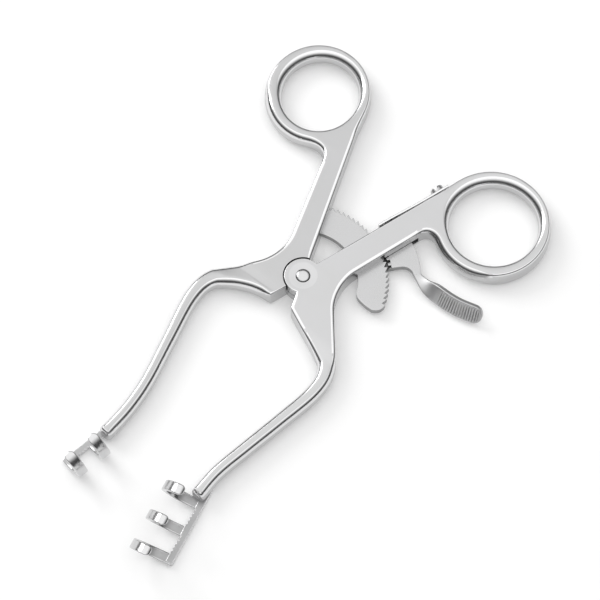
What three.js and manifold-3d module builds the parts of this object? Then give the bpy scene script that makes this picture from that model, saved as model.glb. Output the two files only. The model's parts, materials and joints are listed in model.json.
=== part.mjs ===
// Self-retaining spreader with two ring handles, two bowed arms and 2 x 3 blunt prongs.
// Millimetres. Origin: centre of the pivot screw's lower end. +Y towards the finger rings,
// +X towards the three-prong arm, +Z up. The instrument lies on its flat side, prongs up.
import * as THREE from 'three';
import { mergeVertices } from 'three/addons/utils/BufferGeometryUtils.js';
import Module from 'manifold-3d';

const wasm = await Module();
wasm.setup();

// ---------------------------------------------------------------- driving dimensions
const THICKNESS = 5.4;          // both arms, over the lap joint
const HALF = THICKNESS / 2;
const LAP_GAP = 0.3;            // between the two halves of the lap joint
const DISC_RADIUS = 4.45;       // round half-thickness ends that lie on each other
const RECESS_RADIUS = 4.75;
const PLATE_BEVEL = 0.4;        // broken edges of the flat shanks
const BAR_BEVEL = 1.1;          // the bowed bars are nearly round

const LEFT_SHANK_ANGLE = 110.1; // degrees from +X, seen from above
const RIGHT_SHANK_ANGLE = 71.3;
// Offsets of the shanks' long edges from lines through the pivot at those angles, + to the right.
const LEFT_INNER_EDGE = 0.2;
const RIGHT_INNER_EDGE = -0.8;
const RIGHT_OUTER_EDGE = 5.5;
// Finger rings: half axes of the outline, and of the hole at its waist; long is along the shank.
const LEFT_RING = {
  x: -27.2, y: 40.0, long: 13.2, wide: 12.7, hole: { x: -26.8, y: 40.3, long: 9.7, wide: 9.1 } };
const RIGHT_RING = {
  x: 26.3, y: 38.3, long: 14.0, wide: 14.0, hole: { x: 26.6, y: 38.6, long: 10.5, wide: 10.5 } };
const RING_OUTER_BULGE = 0.9;   // the band's section is rounded outside
const RING_FACETS = 48;
const RING_INNER_BULGE = 1.4;   // and inside, which leaves a flat top about a millimetre wide

const SCREW_RADIUS = 1.65;
const SCREW_DOME = 0.35;
const RUN_GAP = 0.1;            // radial play of a pin in its hole
const FIT_GAP = 0.2;            // clearance between plates and the walls of their slots
const SLOT_GAP = 0.35;          // between the rack's inner edge and the end of its slot

const RACK_INNER = 12.85;       // ratchet bar, concentric with the pivot
const RACK_CREST = 20.2;
const TOOTH_DEPTH = 0.85;
const TOOTH_PITCH = 4.0;        // degrees
const TOOTH_COUNT = 23;
const FIRST_CREST = 20.3;       // degrees
const RACK_END = 14.5;          // degrees, round free end
const RACK_BOTTOM = 1.1;
const RACK_TOP = 2.7;
const RACK_TAIL_DEPTH = 3.6;    // how far the bar is let into the left shank
const TAIL_START_S = 13.3;      // where its tail lies along the left shank
const TAIL_END_S = 19.1;
const RIVET_RADIUS = 0.7;
const RIVET_S = [14.6, 17.8];

const CATCH_PIVOT = [10.3, 20.2];
const CATCH_PIN_RADIUS = 0.8;
const CATCH_CLEARANCE = 0.15;   // catch teeth stand this far off the rack's crests
const CATCH_FIRST_TOOTH = 47.2; // degrees
const CATCH_TEETH = 4;
const CATCH_TOOTH_DEPTH = 0.7;
const CATCH_HEEL_S = 25.4;      // where the catch's heel meets the spring, along the shank

const TAB_THICKNESS = 1.3;
const TAB_LEAN = 22;            // degrees, the thumb tab's ribbed face looks a little upwards
const TAB_BOTTOM = 0.2;
const TAB_TOP = 5.4;

const SPRING_THICKNESS = 0.5;
const SPRING_BOTTOM = 1.6;
const SPRING_TOP = 5.0;
const SPRING_RISE = 0.35;       // its free end stands this much further off the shank
const SPRING_START_S = 22.2;    // free end, along the shank
const SPRING_BEND_S = 34.0;     // straight and close to the shank from here on
const SPRING_END_S = 41.6;      // where it ends beside the ring
const SPRING_SCREW_S = 39.2;
const SPRING_SCREW_Z = 3.2;
const SPRING_SCREW_RADIUS = 0.75;
const SPRING_SCREW_HOLE = 0.9;
const SPRING_HEAD_RADIUS = 1.65;
const SPRING_HEAD_HEIGHT = 1.3;
const SPRING_HEAD_GAP = 0.2;    // between the head and the spring

const PRONG_WIDTH = 2.6;
const PRONG_THICKNESS = 1.3;
const PRONG_BEVEL = 0.25;
const HOOK_RADIUS = 5.9;        // centre line of a prong's half circle
const HOOK_ROOT = 0.6;          // how far a prong's foot reaches into the spine
const SPINE_WIDTH = 1.7;
const SPINE_FOOT = 4.4;         // the part of the spine that lies under the bar
const SERRATIONS = 5;
const SERRATION_DEPTH = 0.35;
const WELD_GAP = 0.35;
// side: +1 where the left-hand side of the spine's direction is inboard. Each prong: its station
// on the spine and its forward lean. centre: how far inboard the half circles' centres stand.
// tip: angle in degrees at which the half circles end.
const LEFT_RAKE = {
  origin: [-12.8, -60.1], angle: 259.4, side: 1, centre: 0.1, tip: 69,
  prongs: [[1.6, 0.15], [8.4, 0.15]] };
const RIGHT_RAKE = {
  origin: [16.4, -58.2], angle: 281.9, side: -1, centre: 2.0, tip: 86,
  prongs: [[0, 0.23], [7.45, 0.29], [14.8, 0.37]] };

const STEEL = new THREE.MeshStandardMaterial({ color: 0xc9cacb, roughness: 0.38, metalness: 1 });
const POLISHED = new THREE.MeshStandardMaterial({ color: 0xd4d5d6, roughness: 0.18, metalness: 1 });

// ---------------------------------------------------------------- small helpers
const rad = (degrees) => degrees * Math.PI / 180;
const polar = (r, degrees) => new THREE.Vector2(r * Math.cos(rad(degrees)), r * Math.sin(rad(degrees)));

function toSolid(geometry) {
  const bare = geometry.clone();
  bare.deleteAttribute('normal');
  bare.deleteAttribute('uv');
  const merged = mergeVertices(bare, 1e-4);
  return new wasm.Manifold(new wasm.Mesh({
    numProp: 3,
    vertProperties: new Float32Array(merged.attributes.position.array),
    triVerts: new Uint32Array(merged.index.array),
  }));
}

function toMesh(name, solid, material) {
  const out = solid.getMesh();
  const geometry = new THREE.BufferGeometry();
  geometry.setAttribute('position', new THREE.BufferAttribute(new Float32Array(out.vertProperties), 3));
  geometry.setIndex(new THREE.BufferAttribute(new Uint32Array(out.triVerts), 1));
  const flat = geometry.toNonIndexed();
  flat.computeVertexNormals();
  const mesh = new THREE.Mesh(flat, material);
  mesh.name = name;
  return mesh;
}

// A plate from z0 to z1 whose edges are bevelled inwards, so the outline is its mid-height size.
function plate(shape, z0, z1, bevel = 0, steps = 1, divisions = 8) {
  const geometry = new THREE.ExtrudeGeometry(shape, {
    depth: z1 - z0 - 2 * bevel, bevelEnabled: bevel > 0, bevelThickness: bevel,
    bevelSize: bevel, bevelOffset: -bevel, bevelSegments: steps, curveSegments: divisions,
  });
  geometry.translate(0, 0, z0 + bevel);
  return toSolid(geometry);
}

function post(x, y, z0, z1, radius, sides = 24) {
  const geometry = new THREE.CylinderGeometry(radius, radius, z1 - z0, sides);
  geometry.rotateX(Math.PI / 2);
  geometry.translate(x, y, (z0 + z1) / 2);
  return toSolid(geometry);
}

// A body turned about the Z axis from a profile of [radius, height] points.
function turnedGeometry(profile, segments) {
  const geometry = new THREE.LatheGeometry(profile.map(([r, z]) => new THREE.Vector2(r, z)), segments);
  return geometry.rotateX(Math.PI / 2);
}

function turned(profile, segments = 32) {
  return toSolid(turnedGeometry(profile, segments));
}

function closedShape(points) {
  return new THREE.Shape(points.map(([x, y]) => new THREE.Vector2(x, y)));
}

// Outline of a strip that follows hand-placed stations [x, y, width] smoothly.
function ribbon(stations, divisions) {
  const middle = new THREE.CatmullRomCurve3(stations.map(([x, y]) => new THREE.Vector3(x, y, 0)));
  const widths = new THREE.CatmullRomCurve3(stations.map(([, , w], i) => new THREE.Vector3(i, w, 0)));
  const left = [];
  const right = [];
  for (let i = 0; i <= divisions; i += 1) {
    const point = middle.getPoint(i / divisions);
    const along = middle.getTangent(i / divisions);
    const half = widths.getPoint(i / divisions).y / 2;
    left.push([point.x - along.y * half, point.y + along.x * half]);
    right.push([point.x + along.y * half, point.y - along.x * half]);
  }
  return closedShape([...left, ...right.reverse()]);
}

// A point in a shank's own frame: s along it from the pivot, o to its right.
function shankPoint(angle, s, o) {
  const a = rad(angle);
  return [s * Math.cos(a) + o * Math.sin(a), s * Math.sin(a) - o * Math.cos(a)];
}

// ---------------------------------------------------------------- finger rings
// A body turned about Z whose radius swells (bulge > 0) or narrows at mid height, made oval.
function ovalBody({ x, y, long, wide }, bulge, margin, angle) {
  const mean = (long + wide) / 2;
  const steps = 8;
  const profile = [[0, -margin]];
  if (margin > 0) profile.push([mean - bulge, -margin]);
  for (let i = 0; i <= steps; i += 1) {
    const a = rad(-90 + 180 * i / steps);
    profile.push([mean - bulge * (1 - Math.cos(a)), THICKNESS / 2 * (1 + Math.sin(a))]);
  }
  if (margin > 0) profile.push([mean - bulge, THICKNESS + margin]);
  profile.push([0, THICKNESS + margin]);
  const geometry = turnedGeometry(profile, RING_FACETS);
  geometry.scale(long / mean, wide / mean, 1);
  geometry.rotateZ(rad(angle));
  geometry.translate(x, y, 0);
  return toSolid(geometry);
}

// ---------------------------------------------------------------- arms
const LEFT_PLATE = new THREE.Shape();
LEFT_PLATE.moveTo(0, 0);
LEFT_PLATE.lineTo(...shankPoint(LEFT_SHANK_ANGLE, 4.7, LEFT_INNER_EDGE));
LEFT_PLATE.lineTo(...shankPoint(LEFT_SHANK_ANGLE, 35, LEFT_INNER_EDGE));
LEFT_PLATE.lineTo(LEFT_RING.x, LEFT_RING.y);
LEFT_PLATE.lineTo(-22.5, 29.1);
LEFT_PLATE.quadraticCurveTo(-16.2, 29.6, -14.9, 25.6);
LEFT_PLATE.lineTo(-8.9, 7.2);
LEFT_PLATE.quadraticCurveTo(-6.9, 0.9, -11.2, -4.0);
LEFT_PLATE.lineTo(-15.6, -8.4);
LEFT_PLATE.lineTo(-14.6, -11.7);
LEFT_PLATE.lineTo(-9.9, -10.5);
LEFT_PLATE.quadraticCurveTo(-6, -9.0, -2.9, -8.6);

const RIGHT_PLATE = new THREE.Shape();
RIGHT_PLATE.moveTo(0, 0);
RIGHT_PLATE.lineTo(2.7, -8.3);
RIGHT_PLATE.quadraticCurveTo(7.2, -9.8, 11.4, -12.0);
RIGHT_PLATE.lineTo(16.3, -13.4);
RIGHT_PLATE.lineTo(17.0, -9.6);
RIGHT_PLATE.lineTo(12.4, -3.9);
RIGHT_PLATE.quadraticCurveTo(7.0, 2.6, 8.9, 8.0);
RIGHT_PLATE.lineTo(...shankPoint(RIGHT_SHANK_ANGLE, 29, RIGHT_OUTER_EDGE));
RIGHT_PLATE.quadraticCurveTo(16.2, 30.6, 18.6, 28.6);
RIGHT_PLATE.lineTo(RIGHT_RING.x, RIGHT_RING.y);
RIGHT_PLATE.lineTo(...shankPoint(RIGHT_SHANK_ANGLE, 45, RIGHT_INNER_EDGE));
RIGHT_PLATE.lineTo(...shankPoint(RIGHT_SHANK_ANGLE, 4.7, RIGHT_INNER_EDGE));

const LEFT_BAR = [
  [-8.5, -5.2, 7.4], [-13.6, -9.5, 5.3], [-17.1, -14.0, 4.3], [-17.5, -20.4, 3.9],
  [-14.9, -31.4, 3.6], [-12.2, -42.5, 3.5], [-11.2, -51.0, 3.5], [-11.4, -59.4, 3.5]];
const RIGHT_BAR = [
  [9.0, -5.0, 7.4], [14.6, -10.4, 5.0], [18.8, -15.2, 4.2], [19.8, -21.4, 3.9],
  [18.2, -31.6, 3.7], [16.4, -41.5, 3.6], [14.9, -50.6, 3.5], [14.9, -58.0, 3.5]];

// The plate, the bowed bar and the finger ring are one forging.
function forging(plateShape, bar, ring, angle) {
  return plate(plateShape, 0, THICKNESS, PLATE_BEVEL, 1, 6)
    .add(ovalBody(ring, RING_OUTER_BULGE, 0, angle))
    .subtract(ovalBody(ring.hole, -RING_INNER_BULGE, 1, angle))
    .add(plate(ribbon(bar, 26), 0.3, THICKNESS - 0.3, BAR_BEVEL, 2, 1));
}

function lapDisc(z0, z1) {
  return post(0, 0, z0, z1, DISC_RADIUS, 48);
}

function lapRecess(z0, z1) {
  return post(0, 0, z0, z1, RECESS_RADIUS, 48);
}

// The ratchet bar's tail inside the left shank, or the pocket that it lies in.
function tailOutline(grow) {
  const start = TAIL_START_S - grow;
  const end = TAIL_END_S + grow;
  const depth = -RACK_TAIL_DEPTH - grow;
  return closedShape([
    shankPoint(LEFT_SHANK_ANGLE, start, 1), shankPoint(LEFT_SHANK_ANGLE, end, 1),
    shankPoint(LEFT_SHANK_ANGLE, end, depth), shankPoint(LEFT_SHANK_ANGLE, start, depth)]);
}

const RIVETS = RIVET_S.map((s) => shankPoint(LEFT_SHANK_ANGLE, s, -1.9));

function leftArm() {
  let arm = forging(LEFT_PLATE, LEFT_BAR, LEFT_RING, LEFT_SHANK_ANGLE)
    .add(lapDisc(0, HALF - LAP_GAP / 2))
    .subtract(lapRecess(HALF - LAP_GAP / 2, THICKNESS + 1))
    .subtract(post(0, 0, -1, THICKNESS, SCREW_RADIUS + RUN_GAP))
    .subtract(plate(tailOutline(FIT_GAP), RACK_BOTTOM - FIT_GAP, RACK_TOP + FIT_GAP));
  for (const [x, y] of RIVETS) {
    arm = arm.subtract(post(x, y, -1, THICKNESS + 1, RIVET_RADIUS + RUN_GAP, 16));
  }
  return arm.subtract(barEndFoot(LEFT_RAKE));
}

// The slot through the right shank: the rack and the catch lie in it.
const SLOT_OUTLINE = new THREE.Shape();
SLOT_OUTLINE.moveTo(...shankPoint(RIGHT_SHANK_ANGLE, 29.0, 9));
SLOT_OUTLINE.lineTo(...shankPoint(RIGHT_SHANK_ANGLE, 28.0, -6));
SLOT_OUTLINE.absarc(0, 0, RACK_INNER - SLOT_GAP, rad(RIGHT_SHANK_ANGLE + 26),
  rad(RIGHT_SHANK_ANGLE - 17), true);
SLOT_OUTLINE.lineTo(...shankPoint(RIGHT_SHANK_ANGLE, 8.6, 9));

// A round post across the right shank, from offset o0 to o1.
function crossPost(s, z, o0, o1, radius, sides = 20) {
  const geometry = new THREE.CylinderGeometry(radius, radius, o1 - o0, sides);
  geometry.rotateZ(-Math.PI / 2);
  geometry.translate((o0 + o1) / 2, s, z);
  geometry.rotateZ(rad(RIGHT_SHANK_ANGLE - 90));
  return toSolid(geometry);
}

function rightArm() {
  return forging(RIGHT_PLATE, RIGHT_BAR, RIGHT_RING, RIGHT_SHANK_ANGLE)
    .add(lapDisc(HALF + LAP_GAP / 2, THICKNESS))
    .subtract(lapRecess(-1, HALF + LAP_GAP / 2))
    .subtract(post(0, 0, -1, THICKNESS + 1, SCREW_RADIUS + RUN_GAP))
    .subtract(plate(SLOT_OUTLINE, RACK_BOTTOM - FIT_GAP, RACK_TOP + FIT_GAP))
    .subtract(post(...CATCH_PIVOT, -1, THICKNESS + 1, CATCH_PIN_RADIUS + RUN_GAP))
    .subtract(crossPost(SPRING_SCREW_S, SPRING_SCREW_Z, -3, 1.9, SPRING_SCREW_HOLE))
    .subtract(barEndFoot(RIGHT_RAKE));
}

// ---------------------------------------------------------------- prong rakes
// A rake is built with x along its spine, y across it (side * y points inboard) and z up.
function placeRake(geometry, { origin, angle }) {
  geometry.rotateZ(rad(angle));
  geometry.translate(origin[0], origin[1], 0);
  return geometry;
}

// One prong: a half circle in side view that bulges inboard and hooks back outboard.
function hook(rake, [station, lean]) {
  const shape = new THREE.Shape();
  const centreZ = PRONG_THICKNESS / 2 + HOOK_RADIUS;
  const start = rad(-90);
  const steps = 14;
  const rim = (radius, i) => {
    const a = start + (rad(rake.tip) - start) * i / steps;
    return [rake.side * (rake.centre + radius * Math.cos(a)), centreZ + radius * Math.sin(a)];
  };
  const root = -rake.side * HOOK_ROOT;
  shape.moveTo(root, PRONG_THICKNESS);
  shape.lineTo(root, 0);
  for (let i = 0; i <= steps; i += 1) shape.lineTo(...rim(HOOK_RADIUS + PRONG_THICKNESS / 2, i));
  for (let i = steps; i >= 0; i -= 1) shape.lineTo(...rim(HOOK_RADIUS - PRONG_THICKNESS / 2, i));
  const geometry = new THREE.ExtrudeGeometry(shape, {
    depth: PRONG_WIDTH - 2 * PRONG_BEVEL, bevelThickness: PRONG_BEVEL, bevelSize: PRONG_BEVEL,
    bevelOffset: -PRONG_BEVEL, bevelSegments: 1 });
  geometry.translate(0, 0, PRONG_BEVEL - PRONG_WIDTH / 2);
  geometry.applyMatrix4(new THREE.Matrix4().makeBasis(
    new THREE.Vector3(0, 1, 0), new THREE.Vector3(0, 0, 1), new THREE.Vector3(1, 0, 0)));
  geometry.applyMatrix4(new THREE.Matrix4().makeShear(0, 0, 0, 0, lean, 0));
  geometry.translate(station, 0, 0);
  return toSolid(placeRake(geometry, rake));
}

// The spine lies flat; its inboard edge is finely serrated between the prongs.
function spine(rake) {
  const half = PRONG_WIDTH / 2;
  const inner = rake.side * SPINE_WIDTH / 2;
  const stations = rake.prongs.map(([station]) => station);
  const end = stations[stations.length - 1] + half;
  const points = [[-SPINE_FOOT, -inner], [end, -inner], [end, inner]];
  for (let gap = stations.length - 1; gap > 0; gap -= 1) {
    const from = stations[gap] - half;
    const pitch = (from - stations[gap - 1] - half) / SERRATIONS;
    for (let i = 0; i < SERRATIONS; i += 1) {
      points.push([from - i * pitch, inner]);
      points.push([from - (i + 0.5) * pitch, inner * (1 - 2 * SERRATION_DEPTH / SPINE_WIDTH)]);
    }
    points.push([stations[gap - 1] + half, inner]);
  }
  points.push([-SPINE_FOOT, inner]);
  const geometry = new THREE.ExtrudeGeometry(closedShape(points), {
    depth: PRONG_THICKNESS, bevelEnabled: false });
  return toSolid(placeRake(geometry, rake));
}

function rakePlate(rake) {
  return rake.prongs.reduce((solid, prong) => solid.add(hook(rake, prong)), spine(rake));
}

// The room under a bar's end where the rake's spine is welded on.
function barEndFoot(rake) {
  const geometry = new THREE.BoxGeometry(SPINE_FOOT + 6, 12, 4);
  geometry.translate((6 - SPINE_FOOT) / 2 - WELD_GAP, 0, PRONG_THICKNESS + WELD_GAP - 2);
  return toSolid(placeRake(geometry, rake));
}

// ---------------------------------------------------------------- ratchet
function ratchetBar() {
  const last = FIRST_CREST + TOOTH_PITCH * (TOOTH_COUNT - 1);
  const shape = new THREE.Shape();
  const start = polar(RACK_INNER, last - 0.8);
  shape.moveTo(start.x, start.y);
  shape.absarc(0, 0, RACK_INNER, rad(last - 0.8), rad(RACK_END + 9), true);
  const corner = polar(RACK_INNER + 0.6, RACK_END + 1.5);
  const tip = polar((RACK_INNER + RACK_CREST) / 2 + 1.2, RACK_END - 1.5);
  shape.quadraticCurveTo(corner.x, corner.y, tip.x, tip.y);
  const shoulder = polar(RACK_CREST - 0.2, RACK_END - 0.2);
  const firstCrest = polar(RACK_CREST, FIRST_CREST);
  shape.quadraticCurveTo(shoulder.x, shoulder.y, firstCrest.x, firstCrest.y);
  for (let i = 0; i < TOOTH_COUNT; i += 1) {
    const crest = polar(RACK_CREST, FIRST_CREST + i * TOOTH_PITCH);
    const root = polar(RACK_CREST - TOOTH_DEPTH, FIRST_CREST + i * TOOTH_PITCH + 0.4);
    shape.lineTo(crest.x, crest.y);
    shape.lineTo(root.x, root.y);
  }
  const bar = plate(shape, RACK_BOTTOM, RACK_TOP, 0, 1, 10);
  let whole = bar.add(plate(tailOutline(0), RACK_BOTTOM, RACK_TOP));
  for (const [x, y] of RIVETS) {
    whole = whole.subtract(post(x, y, 0, THICKNESS, RIVET_RADIUS + RUN_GAP, 16));
  }
  return whole;
}

// ---------------------------------------------------------------- catch, spring and fasteners
const TAB_LINE = [
  [20.0, 17.9], [23.4, 17.0], [26.8, 16.8], [29.8, 16.8], [32.8, 17.1], [36.0, 17.9], [38.6, 18.7]];

// The flat end of the catch lies in the slot, with teeth along the rack's crests.
function catchPlate() {
  const edge = RACK_CREST + CATCH_CLEARANCE;
  const shape = new THREE.Shape();
  const low = polar(edge, CATCH_FIRST_TOOTH);
  shape.moveTo(low.x, low.y);
  for (let i = 0; i < CATCH_TEETH; i += 1) {
    const root = polar(edge + CATCH_TOOTH_DEPTH, CATCH_FIRST_TOOTH + i * TOOTH_PITCH + 0.4);
    const crest = polar(edge, CATCH_FIRST_TOOTH + (i + 1) * TOOTH_PITCH);
    shape.lineTo(root.x, root.y);
    shape.lineTo(crest.x, crest.y);
  }
  shape.lineTo(...shankPoint(RIGHT_SHANK_ANGLE, 21.4, 1.6));
  shape.lineTo(...shankPoint(RIGHT_SHANK_ANGLE, CATCH_HEEL_S - 0.9, -1.1));
  shape.lineTo(...shankPoint(RIGHT_SHANK_ANGLE, CATCH_HEEL_S + 0.9, -1.1));
  shape.quadraticCurveTo(...shankPoint(RIGHT_SHANK_ANGLE, 26.9, 2.0), 12.6, 24.1);
  shape.quadraticCurveTo(16.6, 23.0, 20.6, 18.6);
  shape.lineTo(19.6, 17.2);
  shape.quadraticCurveTo(17.2, 18.9, 15.3, 16.5);
  return plate(shape, RACK_BOTTOM, RACK_TOP, 0, 1, 6);
}

// The thumb tab: a curved strip standing on edge and leaning back, with a rounded end.
function thumbTab() {
  const lean = Math.tan(rad(TAB_LEAN));
  const middleZ = (TAB_BOTTOM + TAB_TOP) / 2;
  const strip = new THREE.ExtrudeGeometry(
    ribbon(TAB_LINE.map(([x, y]) => [x, y, TAB_THICKNESS]), 20), { depth: 8, bevelEnabled: false });
  strip.translate(0, 0, middleZ - 4);
  const side = new THREE.Shape();
  const [first, last] = [TAB_LINE[0][0], TAB_LINE[TAB_LINE.length - 1][0]];
  const half = (TAB_TOP - TAB_BOTTOM) / 2;
  side.moveTo(first - 1, RACK_BOTTOM);
  side.quadraticCurveTo(first + 2.5, RACK_BOTTOM - 0.3, first + 6.5, TAB_BOTTOM);
  side.lineTo(last - half, TAB_BOTTOM);
  side.absarc(last - half, middleZ, half, -Math.PI / 2, Math.PI / 2, false);
  side.lineTo(first + 4, TAB_TOP);
  side.quadraticCurveTo(first + 2.2, TAB_TOP, first + 0.6, RACK_TOP);
  side.lineTo(first - 1, RACK_TOP);
  const trim = new THREE.ExtrudeGeometry(side, { depth: 12, bevelEnabled: false, curveSegments: 10 });
  trim.rotateX(Math.PI / 2);
  trim.translate(0, 24, 0);
  const tab = toSolid(strip).intersect(toSolid(trim));
  const leaning = tab.getMesh();
  for (let i = 0; i < leaning.vertProperties.length; i += 3) {
    leaning.vertProperties[i + 1] += lean * (leaning.vertProperties[i + 2] - RACK_TOP);
  }
  return new wasm.Manifold(leaning);
}

function catchLever() {
  return catchPlate().add(thumbTab())
    .subtract(post(...CATCH_PIVOT, 0, THICKNESS, CATCH_PIN_RADIUS + RUN_GAP));
}

// Flat leaf along the shank's inner edge, held by a cheese-head screw near the ring.
function leafSpring() {
  const near = RIGHT_INNER_EDGE - WELD_GAP;
  const far = near - SPRING_THICKNESS;
  const outline = closedShape([
    shankPoint(RIGHT_SHANK_ANGLE, SPRING_START_S, near - SPRING_RISE),
    shankPoint(RIGHT_SHANK_ANGLE, CATCH_HEEL_S, near - SPRING_RISE),
    shankPoint(RIGHT_SHANK_ANGLE, SPRING_BEND_S, near),
    shankPoint(RIGHT_SHANK_ANGLE, SPRING_END_S, near),
    shankPoint(RIGHT_SHANK_ANGLE, SPRING_END_S, far),
    shankPoint(RIGHT_SHANK_ANGLE, SPRING_BEND_S, far),
    shankPoint(RIGHT_SHANK_ANGLE, SPRING_START_S, far - SPRING_RISE)]);
  return plate(outline, SPRING_BOTTOM, SPRING_TOP)
    .subtract(crossPost(SPRING_SCREW_S, SPRING_SCREW_Z, -4, 0, SPRING_SCREW_HOLE));
}

function springScrew() {
  const under = RIGHT_INNER_EDGE - WELD_GAP - SPRING_THICKNESS - SPRING_HEAD_GAP;
  const top = under - SPRING_HEAD_HEIGHT;
  const slot = new THREE.BoxGeometry(1, 0.5, 5);
  slot.translate(top, SPRING_SCREW_S, SPRING_SCREW_Z);
  slot.rotateZ(rad(RIGHT_SHANK_ANGLE - 90));
  return crossPost(SPRING_SCREW_S, SPRING_SCREW_Z, under, 1.6, SPRING_SCREW_RADIUS, 16)
    .add(crossPost(SPRING_SCREW_S, SPRING_SCREW_Z, top, under, SPRING_HEAD_RADIUS, 28))
    .subtract(toSolid(slot));
}

// Shaft with a low domed head; its flat lower end is flush with the arm's underside.
const PIVOT_PROFILE = [[0, 0], [SCREW_RADIUS, 0], [SCREW_RADIUS, THICKNESS + 0.05],
  [SCREW_RADIUS * 0.75, THICKNESS + SCREW_DOME * 0.7], [0, THICKNESS + SCREW_DOME]];

// ---------------------------------------------------------------- assembly
const object = new THREE.Group();

function addPart(name, solid, material = STEEL) {
  object.add(toMesh(name, solid, material));
}
addPart('left_arm', leftArm());
addPart('right_arm', rightArm());
addPart('left_prong_rake', rakePlate(LEFT_RAKE), POLISHED);
addPart('right_prong_rake', rakePlate(RIGHT_RAKE), POLISHED);
addPart('pivot_screw', turned(PIVOT_PROFILE), POLISHED);
addPart('ratchet_bar', ratchetBar());
RIVETS.forEach(([x, y], i) => {
  addPart(`ratchet_rivet_${i + 1}`, post(x, y, 0, THICKNESS, RIVET_RADIUS, 16));
});
addPart('catch_lever', catchLever());
addPart('catch_pin', post(...CATCH_PIVOT, 0, THICKNESS, CATCH_PIN_RADIUS));
addPart('leaf_spring', leafSpring(), POLISHED);
addPart('spring_screw', springScrew(), POLISHED);

export default object;
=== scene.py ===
# Self-retaining retractor: two ring-handled arms, hooked prongs, a ratchet bar and a thumb catch.
# Shapes are worked out in millimetres in the CAD frame (origin at the pivot screw, +Y towards the
# rings, +Z up) and turned into metres when each mesh is made.
import json
import math

import bpy
import numpy as np
from mathutils import Matrix, Vector
from mathutils.geometry import tessellate_polygon


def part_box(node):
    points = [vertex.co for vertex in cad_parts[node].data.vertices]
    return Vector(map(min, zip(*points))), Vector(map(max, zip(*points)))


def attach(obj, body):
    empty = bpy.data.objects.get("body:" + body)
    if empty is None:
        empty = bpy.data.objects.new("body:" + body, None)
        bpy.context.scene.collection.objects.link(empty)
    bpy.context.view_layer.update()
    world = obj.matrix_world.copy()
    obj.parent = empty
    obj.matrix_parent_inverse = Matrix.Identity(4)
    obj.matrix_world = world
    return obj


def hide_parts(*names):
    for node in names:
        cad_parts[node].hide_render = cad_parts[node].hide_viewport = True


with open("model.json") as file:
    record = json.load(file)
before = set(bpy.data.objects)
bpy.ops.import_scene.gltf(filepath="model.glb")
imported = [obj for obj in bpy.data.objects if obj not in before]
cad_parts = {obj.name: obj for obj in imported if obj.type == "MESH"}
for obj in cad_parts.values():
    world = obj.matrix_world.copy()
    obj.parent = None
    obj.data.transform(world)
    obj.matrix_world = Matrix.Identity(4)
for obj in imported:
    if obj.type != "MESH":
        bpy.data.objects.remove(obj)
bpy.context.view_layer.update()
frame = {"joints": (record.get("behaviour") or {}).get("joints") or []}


def measured(metres):
    """A measure of the frame in millimetres, without the last digits of its 32-bit number."""
    return round(float(metres) * 1000, 3)


# ------------------------------------------------------------------ driving dimensions, in mm
# lap joint and pivot screw
THICKNESS = measured(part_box("left_arm")[1].z)   # of both shanks, and of the lap joint
HALF = THICKNESS / 2
LAP_GAP = 0.3
DISC_RADIUS = 4.45              # round ends of the lap joint
RECESS_RADIUS = 4.75
DISH_RADIUS = 3.4               # shallow dish round the pivot screw
DISH_DEPTH = 0.16
SCREW_RADIUS = 1.65
SCREW_GAP = 0.08
SCREW_SHOULDER = 0.14           # how far below the shank's face its head starts to round off
SCREW_ROUND = 0.85              # how far in that rounding reaches
SCREW_RISE = 0.48               # and how high
TOOL_LOW, TOOL_HIGH = -2, 8     # a cutting tool's ends, well past both faces

# shanks: directions in degrees from +X, and where their edges run beside those lines
SHANK_LEFT = 110.1
SHANK_RIGHT = 71.3
SHANK_START = 12                # where both arms' outlines start
LEFT_INNER_EDGE = 0.2
RIGHT_INNER_EDGE = -0.8
RIGHT_OUTER_EDGE = 5.5

# finger rings: centre, half axes along and across the shank
LEFT_RING = (-27.2, 40.0, 13.2, 12.7)
LEFT_HOLE = (-26.8, 40.3, 9.7, 9.1)
RIGHT_RING = (26.3, 38.3, 14.0, 14.0)
RIGHT_HOLE = (26.6, 38.6, 10.5, 10.5)
FAR_FROM, FAR_TO = 210, 30      # the side of a hole away from the prongs, in degrees from +X

# bowed bars: x, y, width
LEFT_BAR = [(-8.5, -5.2, 7.4), (-13.6, -9.5, 5.3), (-17.1, -14.0, 4.3), (-17.5, -20.4, 3.9),
            (-14.9, -31.4, 3.6), (-12.2, -42.5, 3.5), (-11.2, -51.0, 3.5), (-11.4, -59.4, 3.5)]
RIGHT_BAR = [(9.0, -5.0, 7.4), (14.6, -10.4, 5.0), (18.8, -15.2, 4.2), (19.8, -21.4, 3.9),
             (18.2, -31.6, 3.7), (16.4, -41.5, 3.6), (14.9, -50.6, 3.5), (14.9, -58.0, 3.5)]
BAR_INSIDE = 24                 # points at a bar's start that lie inside the shank

# how an edge is rounded: reach inwards, height taken, and how far the face sinks there
PLATE = (0.85, 0.5, 0.0)
CRISP = (0.35, 0.25, 0.0)       # along the leaf spring
WAIST = (1.8, 2.65, 0.0)        # under the left shank, between hub and bar
BAR = (1.5, 2.35, 0.3)
BAR_END = (0.8, 1.2, 0.3)
RING = (0.75, 2.65, 0.0)
RING_UNDER = (1.8, 2.65, 0.0)   # beside the shank, on the side of the prongs
HOLE = (1.2, 2.65, 0.0)
HOLE_FAR = (2.2, 2.65, 0.0)
HUB = (0.14, 0.16, 0.0)
TOOTH_EDGE = (0.06, 0.06, 0.0)
SPINE_EDGE = (0.12, 0.14, 0.0)
WALL_SLOPE = 22                 # degrees: below this a surface counts as a side wall
WIDE_EDGE = 0.9                 # on edges that reach in further, the top's satin runs over them
FLAT_SLOPE = 79                 # as far down as this slope, in degrees

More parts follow.
